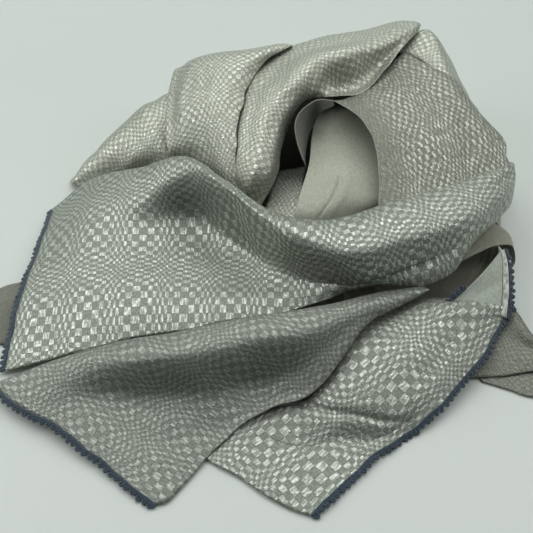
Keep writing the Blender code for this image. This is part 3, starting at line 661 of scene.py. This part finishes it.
def flatten(points, triangles, flat):
    """Lays triangles flat: each keeps its shape, and turns until all of them fit together.

    A place on the flat cloth is a complex number: its parts run along and across the cloth.
    """
    start = points[triangles[:, 0]]
    side = points[triangles[:, 1]] - start
    other = points[triangles[:, 2]] - start
    length = np.linalg.norm(side, axis=1)
    along = np.sum(side * other, axis=1) / length
    height = np.sqrt(np.maximum(np.sum(other * other, axis=1) - along**2, TINY))
    shapes = (0j * length, 1j * length, height + 1j * along)
    pull = np.zeros((len(points), len(points)))
    edges = []
    for first, second, far in ((0, 1, 2), (1, 2, 0), (2, 0, 1)):
        corner = (shapes[first] - shapes[far]) * (shapes[second] - shapes[far]).conj()
        weight = np.maximum(corner.real / (length * height), LEAST_PULL)
        one = triangles[:, first]
        two = triangles[:, second]
        edges.append((one, two, weight, shapes[first] - shapes[second]))
        np.add.at(pull, (one, one), weight)
        np.add.at(pull, (two, two), weight)
        np.add.at(pull, (one, two), -weight)
        np.add.at(pull, (two, one), -weight)
    pull[0, 0] += 1.0
    solve = np.linalg.inv(pull)
    for _ in range(FLAT_PASSES):
        turn = sum(weight * (flat[one] - flat[two]) * rest.conj() for one, two, weight, rest in edges)
        turn /= np.abs(turn)
        force = np.zeros_like(flat)
        for one, two, weight, rest in edges:
            np.add.at(force, one, weight * turn * rest)
            np.add.at(force, two, -weight * turn * rest)
        flat = solve @ force
    return flat


def lay_flat(grid, first, has_hem):
    """Where each point of a stretch lies on the flat cloth: a hem across it, or else the rows along it."""
    rows, columns = grid.shape[:2]
    row_picks = np.unique(np.linspace(0, rows - 1, FLAT_ROWS).round().astype(int))
    column_picks = np.unique(np.linspace(0, columns - 1, FLAT_COLUMNS).round().astype(int))
    coarse = grid[np.ix_(row_picks, column_picks)]
    corners = np.array(grid_faces(*coarse.shape[:2]))
    triangles = np.concatenate([corners[:, [0, 1, 2]], corners[:, [0, 2, 3]]])
    flat = lengths(coarse, 0) + 1j * lengths(coarse, 1)
    flat = flatten(coarse.reshape(-1, 3), triangles, flat.ravel()).reshape(flat.shape)
    flat = smooth_curve(flat, row_picks.astype(float), np.arange(rows, dtype=float))
    flat = smooth_curve(flat.T, column_picks.astype(float), np.arange(columns, dtype=float)).T
    if has_hem:
        direction = (flat[0, -1] - flat[0, first]) / 1j
    else:
        direction = (flat[-1] - flat[0]).mean()
    flat = (flat - flat[0, first]) * (abs(direction) / direction)
    return np.stack([flat.real, flat.imag], axis=-1)


def edge_places(grid, name):
    """Distance of each point from the stretch's finished edge, and the width of the hem along it."""
    distance = np.full(grid.shape[:2], NO_EDGE)
    hem = 0.0
    if name in FINISHED_EDGES:
        side, hem = FINISHED_EDGES[name]
        distance = lengths(grid, 1)
        if side == "last":
            distance = distance[:, -1:] - distance
    return np.stack([distance, np.full(grid.shape[:2], hem)], axis=-1)


def show(name, data):
    """Puts a mesh, a lamp or a camera into the scene."""
    thing = bpy.data.objects.new(name, data)
    bpy.context.scene.collection.objects.link(thing)
    return thing


def stand_for(piece, node):
    """A piece lies still, in place of a solid."""
    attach(piece, "root")
    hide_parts(node)


def loop_corners(mesh):
    """The point at each corner of each face."""
    corners = np.empty(len(mesh.loops), dtype=np.int32)
    mesh.loops.foreach_get("vertex_index", corners)
    return corners


def add_map(mesh, name, places):
    """A UV map in metres, from places in millimetres."""
    mesh.uv_layers.new(name=name).data.foreach_set("uv", (places * MM).astype(np.float32).ravel())


def add_piece(name, points, faces, materials, maps=None):
    """A mesh piece, with its places on the cloth as UV maps."""
    mesh = bpy.data.meshes.new(name)
    mesh.from_pydata((np.asarray(points) * MM).tolist(), [], faces)
    for material in materials:
        mesh.materials.append(material)
    mesh.shade_smooth()
    for map_name, places in (maps or {}).items():
        add_map(mesh, map_name, places.reshape(-1, 2)[loop_corners(mesh)])
    return show(name, mesh)


def camera_place():
    """Where the camera stands, and the point that it looks at."""
    elevation = math.radians(CAMERA_ELEVATION)
    target = np.array(CAMERA_TARGET) + TABLE_ORIGIN
    reach = CAMERA_DISTANCE / MM
    return target + reach * np.array([0.0, -math.cos(elevation), math.sin(elevation)]), target


def lay_cloth(name, finishes):
    """One stretch of the shawl as thin silk, with the side that shows turned up."""
    lay = LAYS[name]
    grid, first = sheet_grid(STRETCHES[name], lay.steps)
    places = lay_flat(grid, first, name in HEMS) + np.array(lay.weave)
    outlook = camera_place()[0] - grid if lay.looks == "forward" else grid - HEAP_HEART
    side = np.sign(np.sum(normals_of(grid) * outlook, axis=2).mean())
    for edge in EDGES:
        if edge.stretch == name:
            grid = sway_edge(grid, edge)
    for path, width, height in CREASES.get(name, ()):
        grid = press_crease(grid, path, width, height, side)
    grid = ruffle(grid, side)
    grid[..., 2] = np.maximum(grid[..., 2], CLOTH_THICKNESS)
    order = -1 if side < 0 else 1
    shown = grid[:, ::order]
    maps = {"cloth": places[:, ::order], "edges": edge_places(grid, name)[:, ::order]}
    slot = "silk_face" if lay.side.startswith("silk_face") else "silk_back"
    inside = INSIDES.get(name, "silk_back" if slot == "silk_face" else "silk_face")
    materials = [finishes[lay.side], finishes[inside]]
    faces = grid_faces(*shown.shape[:2])
    piece = add_piece("cloth_" + name, shown.reshape(-1, 3), faces, materials, maps)
    wall = piece.modifiers.new("thickness", "SOLIDIFY")
    wall.thickness = CLOTH_THICKNESS * MM
    wall.offset = 0.0
    wall.material_offset = 1
    wall.material_offset_rim = 0
    stand_for(piece, name)
    return piece, grid, first


def tube(path, radius, closed=False):
    """Points and faces of a round yarn along a path."""
    if closed:
        ahead = np.roll(path, -1, axis=0) - np.roll(path, 1, axis=0)
    else:
        ahead = np.gradient(path, axis=0)
    ahead = unit(ahead)
    side = unit(np.cross(ahead, YARN_UPRIGHT))
    top = np.cross(side, ahead)
    turns = np.linspace(0.0, 2 * math.pi, YARN_SIDES, endpoint=False)
    ring = np.cos(turns)[None, :, None] * side[:, None] + np.sin(turns)[None, :, None] * top[:, None]
    points = (path[:, None] + radius * ring).reshape(-1, 3)
    count = len(path)
    faces = []
    for step in range(count if closed else count - 1):
        here = step * YARN_SIDES
        after = (step + 1) % count * YARN_SIDES
        for turn in range(YARN_SIDES):
            next_turn = (turn + 1) % YARN_SIDES
            faces.append((here + turn, here + next_turn, after + next_turn, after + turn))
    if not closed:
        faces.append(tuple(range(YARN_SIDES - 1, -1, -1)))
        faces.append(tuple(range((count - 1) * YARN_SIDES, count * YARN_SIDES)))
    return points, faces


def join_tubes(tubes):
    """The points and the faces of several yarns as one."""
    points = []
    faces = []
    for tube_points, tube_faces in tubes:
        start = sum(len(part) for part in points)
        points.append(tube_points)
        faces.extend(tuple(start + corner for corner in face) for face in tube_faces)
    return np.concatenate(points), faces


def crochet(name, hem, inside, finish, seed):
    """A crocheted edging along a hem: two twisted base strands, and picots of three small loops."""
    draw = np.random.default_rng(seed)
    run = lengths(hem)
    ahead = unit(np.gradient(hem, axis=0))
    outward = hem - inside
    outward = unit(outward - np.sum(outward * ahead, axis=1, keepdims=True) * ahead)
    upward = np.cross(ahead, outward)
    upward *= np.sign(upward[:, 2:3] + TINY)

    def read(field, places):
        return np.stack([np.interp(places, run, field[:, axis]) for axis in range(3)], axis=-1)

    def at(places, out, up):
        """Points at lengths along the hem, out from it and above it, never under the table."""
        points = read(hem, places) + read(outward, places) * out[:, None] + read(upward, places) * up[:, None]
        points[:, 2] = np.maximum(points[:, 2], YARN)
        return points

    tubes = []
    places = np.arange(0.0, run[-1], STRAND_STEP)
    for start in (0.0, math.pi):
        twist = places / STRAND_TWIST * 2 * math.pi + start
        out = STRAND_OUT + STRAND_SWAY[0] * np.cos(twist)
        tubes.append(tube(at(places, out, STRAND_SWAY[1] * np.sin(twist)), STRAND_YARN))
    picots = max(1, round(run[-1] / PICOT_PITCH))
    turns = np.linspace(0.0, 2 * math.pi, LOOP_POINTS, endpoint=False)
    for picot in range(picots):
        centre = (picot + 0.5) * run[-1] / picots + draw.normal(0, PICOT_STRAY)
        for offset, reach, radius in PICOT_LOOPS:
            along, out, lift, tilt = [draw.normal(0, stray) for stray in LOOP_STRAYS]
            up = lift + LOOP_TILT * tilt * np.cos(turns) + LOOP_WAVE * np.sin(2 * turns)
            places = centre + offset + along + radius * np.cos(turns)
            tubes.append(tube(at(places, reach + out + radius * np.sin(turns), up), YARN, closed=True))
    points, faces = join_tubes(tubes)
    piece = add_piece("crochet_" + name, points, faces, [finish])
    stand_for(piece, "edging_" + name)
    return piece


def hidden_layers(finish):
    """The layers that nobody sees, a little under the cloth that lies on them."""
    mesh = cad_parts["heap_core"].data.copy()
    mesh.name = "hidden_layers"
    points = np.empty(len(mesh.vertices) * 3, dtype=np.float32)
    mesh.vertices.foreach_get("co", points)
    points = points.reshape(-1, 3) / MM
    height = points[:, 2].copy()
    drop = np.zeros_like(height)
    for start, rise, depth in HIDDEN_DROPS:
        drop += depth * np.clip((height - start) / rise, 0.0, 1.0)
    for x, y, radius, depth in DEEP_PLACES:
        near = DEEP_REACH - np.hypot(points[:, 0] - x, points[:, 1] - y) / radius
        drop += depth * np.clip(near, 0.0, 1.0) * np.clip((height - DEEP_FROM) / DEEP_RISE, 0.0, 1.0)
    points[:, 2] = np.maximum(height - drop, np.minimum(height, HIDDEN_LOWEST))
    mesh.vertices.foreach_set("co", (points * MM).ravel())
    while mesh.uv_layers:
        mesh.uv_layers.remove(mesh.uv_layers[0])
    corners = loop_corners(mesh)
    add_map(mesh, "cloth", points[corners, :2])
    add_map(mesh, "edges", np.full((len(corners), 2), NO_EDGE))
    mesh.materials.clear()
    mesh.materials.append(finish)
    mesh.shade_smooth()
    stand_for(show("hidden_layers", mesh), "heap_core")


def math_node(operation, reflected=False):
    """An operator that adds one Math node. Its reflected form has a plain number before the value."""
    if reflected:
        return lambda value, other: value.maths(operation, other, value)
    return lambda value, other=None: value.maths(operation, value, other)


class Value:
    """A number that varies over the cloth. Sums and products of values are plain expressions."""

    def __init__(self, finish, socket):
        self.finish = finish
        self.socket = socket

    def maths(self, operation, first, second=None):
        sockets = {0: first} if second is None else {0: first, 1: second}
        return self.finish.node("ShaderNodeMath", {"operation": operation}, sockets)

    __add__ = math_node("ADD")
    __radd__ = math_node("ADD", reflected=True)
    __sub__ = math_node("SUBTRACT")
    __rsub__ = math_node("SUBTRACT", reflected=True)
    __mul__ = math_node("MULTIPLY")
    __rmul__ = math_node("MULTIPLY", reflected=True)
    __truediv__ = math_node("DIVIDE")
    sine = math_node("SINE")
    cosine = math_node("COSINE")
    angle_to = math_node("ARCTAN2")

    def within(self, low=0.0, high=1.0):
        return self.maths("MINIMUM", self.maths("MAXIMUM", self, low), high)


class Finish:
    """A material, built from values."""

    def __init__(self, name, constants):
        self.material = bpy.data.materials.new(name)
        self.material.use_nodes = True
        self.tree = self.material.node_tree
        self.shader = self.tree.nodes["Principled BSDF"]
        for socket, number in constants.items():
            self.shader.inputs[socket].default_value = number

    def node(self, kind, settings=None, sockets=None, output=0):
        """Makes a node: its settings first, then the value or the link of each socket."""
        made = self.tree.nodes.new(kind)
        for setting, value in (settings or {}).items():
            setattr(made, setting, value)
        for socket, value in (sockets or {}).items():
            self.join(made.inputs[socket], value)
        return Value(self, made.outputs[output])

    def join(self, socket, value):
        if isinstance(value, Value):
            self.tree.links.new(value.socket, socket)
        else:
            socket.default_value = value

    def set(self, socket, value):
        self.join(self.shader.inputs[socket], value)

    def map_place(self, name):
        """The two lengths that a UV map holds, in millimetres."""
        uv = self.node("ShaderNodeUVMap", {"uv_map": name})
        return [self.node("ShaderNodeSeparateXYZ", None, {0: uv}, axis) / MM for axis in (0, 1)]

    def speckle(self, vector, scale=1.0, detail=2.0, roughness=0.5):
        """Soft noise from 0 to 1."""
        return self.node(
            "ShaderNodeTexNoise", {"noise_dimensions": "3D"},
            {"Vector": vector, "Scale": scale, "Detail": detail, "Roughness": roughness},
        )

    def mottle(self, cloth, rate, layer, detail=2.0, roughness=0.5):
        """Speckles on the cloth, so many to a millimetre along and across it."""
        sockets = {0: cloth[0] * rate[0], 1: cloth[1] * rate[1], 2: layer}
        return self.speckle(self.node("ShaderNodeCombineXYZ", None, sockets), 1.0, detail, roughness)

    def selvedge(self, edge):
        """The thin dense line along a finished edge."""
        return ((SELVEDGE_WIDTH - edge) * 2.0).within()

    def blend(self, share, first, second):
        """A colour between two colours."""
        return self.node("ShaderNodeMix", {"data_type": "RGBA"}, {0: share, 6: first, 7: second}, 2)

    def relief(self, height, strength, distance):
        sockets = {"Height": height, "Strength": strength, "Distance": distance}
        return self.node("ShaderNodeBump", None, sockets)


def cell_wave(place, check, fine, swell):
    """A square wave from -1 to 1 whose cells swell and shrink along the cloth."""
    turn = place * (math.pi * fine / check.repeat)
    wave = ((turn.sine() * swell).angle_to(turn.cosine()) * check.cells).cosine()
    return (wave * CELL_SHARPNESS).within(-1.0, 1.0)


def tinted(colour, tone=1.0, warmth=0.0):
    """A colour made lighter or darker, and warmer."""
    red, green, blue = colour
    return (tone * (red + warmth), tone * green, tone * (blue - warmth), 1.0)


def make_silk_face(name, face):
    """The right side: satin cells among matte ones, a check that swells and shrinks, with glints painted into
    the satin's colour and its tone as painted light and shade.
    """
    silk = Finish(name, {"Sheen Weight": 0.12, "Sheen Roughness": 0.4, "Specular IOR Level": 0.3})
    cloth = silk.map_place("cloth")
    ragged = (silk.mottle(cloth, RAGGED, 0.0, detail=3.0) - 0.5) * face.loose
    wander = silk.mottle(cloth, WANDER, 7.0, detail=1.0) - 0.5
    cells = 1.0
    for place, check, fine in zip(cloth, (LENGTH_CHECK, WIDTH_CHECK), face.fine):
        thread_place = place + ragged * check.ragged + wander * check.wander
        cells = cells * cell_wave(thread_place, check, fine, face.swell)
    satin = (cells * 2.0).within()
    streak = silk.mottle(cloth, face.streaks, 3.0, roughness=0.6)
    fibre = silk.mottle(cloth, FIBRE, 1.0)
    grain = silk.mottle(cloth, GRAIN, 5.0, detail=3.0, roughness=0.7)
    patch = silk.mottle(cloth, FACE_PATCH, 11.0)
    thread = (grain * 2.6 - 0.8).within()
    # Painted glints: streaks and patches that lighten the satin's colour, and make it glossier too.
    lustre = (streak * 6.0 + patch * 1.6 - 3.4).within()
    edge = silk.map_place("edges")[0]
    selvedge = silk.selvedge(edge)
    glint_share = ((edge - 2.0) * (1.0 / QUIET_BORDER)).within(0.25, 1.0) * face.glint
    shine = satin * (0.2 + lustre * 0.8) * glint_share
    tint = (face.tone, face.warmth)
    painted_glint_tint = (0.5 + 0.5 * face.glint, face.warmth)
    matte = silk.blend(thread, tinted(MATTE_DARK, *tint), tinted(MATTE_LIGHT, *tint))
    satin_with_painted_glints = silk.blend(lustre, tinted(SATIN_DARK, *tint), tinted(SATIN_PAINTED_GLINT, *painted_glint_tint))
    # Satin cells are lighter than matte ones, the more so where the painted glints are stronger.
    colour = silk.blend(satin * (0.62 + streak * 0.3) * glint_share.within(), matte, satin_with_painted_glints)
    silk.set("Base Color", silk.blend(selvedge * 0.6, colour, tinted(FACE_SELVEDGE, face.tone)))
    silk.set("Metallic", 0.62 + shine * 0.34)
    silk.set("Roughness", 0.44 - shine * 0.17)
    height = satin * 0.25 + streak * satin * 1.1 + fibre * 0.6 + thread * 0.6 + selvedge
    silk.set("Normal", silk.relief(height, 0.85, 0.0008))
    return silk.material


def make_silk_back(name, tone, warmth):
    """The wrong side: plain and matte, with a fine even weave, and a sewn hem where there is one; its tone
    paints light and shade on it.
    """
    silk = Finish(name, {"Sheen Weight": 0.25, "Sheen Roughness": 0.5, "Specular IOR Level": 0.3})
    cloth = silk.map_place("cloth")
    weft = silk.mottle(cloth, BACK_WEFT, 0.0, detail=3.0, roughness=0.7)
    warp = silk.mottle(cloth, BACK_WARP, 4.0, detail=3.0, roughness=0.7)
    cloud = silk.mottle(cloth, BACK_CLOUD, 9.0)
    patch = silk.mottle(cloth, HEM_PATCH, 2.0)
    threads = weft * 0.55 + warp * 0.45
    edge, hem = silk.map_place("edges")
    selvedge = silk.selvedge(edge)
    turned = ((hem - edge) * 2.0).within()
    off_sewing = edge - hem
    sewing = (1.0 - off_sewing * off_sewing).within() * hem.within()
    plain = silk.blend((threads * 3.6 - 1.3).within(), tinted(BACK_DARK, tone, warmth),
                       tinted(BACK_LIGHT, tone, warmth))
    plain = silk.blend(cloud * 0.35, plain, tinted(BACK_MIDDLE, tone, warmth))
    sewn = silk.blend((patch * 5.0 - 2.0).within(), tinted(HEM_DARK, tone), tinted(HEM_LIGHT))
    colour = silk.blend(sewing * 0.8, silk.blend(turned, plain, sewn), tinted(SEWING_LINE))
    # The selvedge line stays light where the tone paints shade.
    silk.set("Base Color", silk.blend(selvedge * 0.7, colour, tinted(BACK_SELVEDGE, max(tone, 0.8))))
    silk.set("Roughness", 0.82 - threads * 0.1 - turned * 0.3)
    height = threads + turned * 1.5 + patch * turned - sewing * 2.0 + selvedge
    silk.set("Normal", silk.relief(height, 0.5, 0.0006))
    return silk.material


def make_yarn():
    """Dark blue cotton yarn, matte and slightly fuzzy."""
    yarn = Finish("edging", {"Sheen Weight": 0.4, "Sheen Roughness": 0.6, "Specular IOR Level": 0.2})
    place = yarn.node("ShaderNodeNewGeometry")
    fibre = yarn.speckle(place, 1400.0)
    patch = yarn.speckle(place, 120.0, detail=1.0)
    share = (fibre * 0.7 + patch * 0.4).within()
    yarn.set("Base Color", yarn.blend(share, tinted(YARN_DARK), tinted(YARN_LIGHT)))
    yarn.set("Roughness", 0.95 - fibre * 0.15)
    yarn.set("Normal", yarn.relief(fibre, 0.6, 0.0004))
    return yarn.material


def make_table_top():
    """Pale matte paper with painted shade: dark in front of the picture, where the front of the shawl looks,
    and darker towards the back.
    """
    top = Finish("table_top", {"Roughness": 0.6, "Specular IOR Level": 0.25})
    place = top.node("ShaderNodeNewGeometry")
    cloud = top.speckle(place, 3.0)
    ahead = top.node("ShaderNodeSeparateXYZ", None, {0: place}, 1)
    unlit = ((ahead + FLOOR_FRONT) * (-1.0 / FLOOR_FADE)).within()
    near = (0.5 - ahead * FLOOR_CHANGE).within()
    pale = top.blend(cloud * 0.1, top.blend(near, PAPER_FAR, PAPER_NEAR), PAPER_CLOUD)
    top.set("Base Color", top.blend(unlit, pale, PAPER_UNLIT))
    return top.material


def make_floor():
    """A pale sweep: a floor that curves up into a backdrop far behind the shawl."""
    profile = [(FLOOR_START, 0.0), (FLOOR_END, 0.0)]
    for angle in range(5, 91, 5):
        turn = math.radians(angle)
        profile.append((FLOOR_END + FLOOR_BEND * math.sin(turn), FLOOR_BEND * (1 - math.cos(turn))))
    profile.append((FLOOR_END + FLOOR_BEND, BACKDROP_TOP))
    points = []
    for y, z in profile:
        for x in (-FLOOR_HALF_WIDTH, FLOOR_HALF_WIDTH):
            points.append((x, y, z - FLOOR_GAP))
    faces = [(2 * row, 2 * row + 1, 2 * row + 3, 2 * row + 2) for row in range(len(profile) - 1)]
    add_piece("sweep", points, faces, [make_table_top()])


def aim(thing, place, target):
    """Puts a light or the camera at a place, in metres, and turns it to a point."""
    thing.location = Vector(place)
    thing.rotation_euler = (Vector(target) - Vector(place)).to_track_quat("-Z", "Y").to_euler()


def add_lights():
    for name, light in LIGHTS.items():
        lamp = bpy.data.lights.new(name, "AREA")
        lamp.shape = "RECTANGLE"
        lamp.size, lamp.size_y = light.size
        lamp.energy = light.power
        aim(show(name, lamp), light.place, light.target)
    room = bpy.data.worlds.new("room")
    room.use_nodes = True
    room.node_tree.nodes["Background"].inputs["Color"].default_value = ROOM_COLOUR
    room.node_tree.nodes["Background"].inputs["Strength"].default_value = ROOM_STRENGTH
    bpy.context.scene.world = room
    bpy.context.scene.view_settings.view_transform = "Standard"


def add_camera():
    lens = bpy.data.cameras.new("camera")
    lens.lens = CAMERA_LENS
    lens.sensor_width = CAMERA_SENSOR
    camera = show("camera", lens)
    place, target = camera_place()
    aim(camera, place * MM, target * MM)
    bpy.context.scene.camera = camera


def add_edgings(grids, yarn):
    """The crocheted edging along each hem, by the stretch that carries it, each with its own seed."""
    hems = {name: (grids[name][0], grids[name][2]) for name in HEMS}
    corner = grids["turned_corner"]
    hems["corner"] = (corner[:, -1], corner[:, -3])
    bit = int(len(corner) * INNER_BIT)
    hems["inner_bit"] = (corner[:bit, 0], corner[:bit, 2])
    edgings = {name: crochet(name, *lines, yarn, seed) for seed, (name, lines) in enumerate(hems.items())}
    edgings["turned_corner"] = edgings["corner"]
    return edgings


def main():
    add_camera()
    add_lights()
    make_floor()
    finishes = {name: make_silk_face(name, face) for name, face in FACES.items()}
    for name, (tone, warmth) in BACKS.items():
        finishes[name] = make_silk_back(name, tone, warmth)
    hidden_layers(finishes["silk_back_fold"])
    grids = {}
    pieces = {}
    for name in STRETCHES:
        pieces[name], grid, first = lay_cloth(name, finishes)
        grids[name] = grid[:, first:]
    edgings = add_edgings(grids, make_yarn())


main()
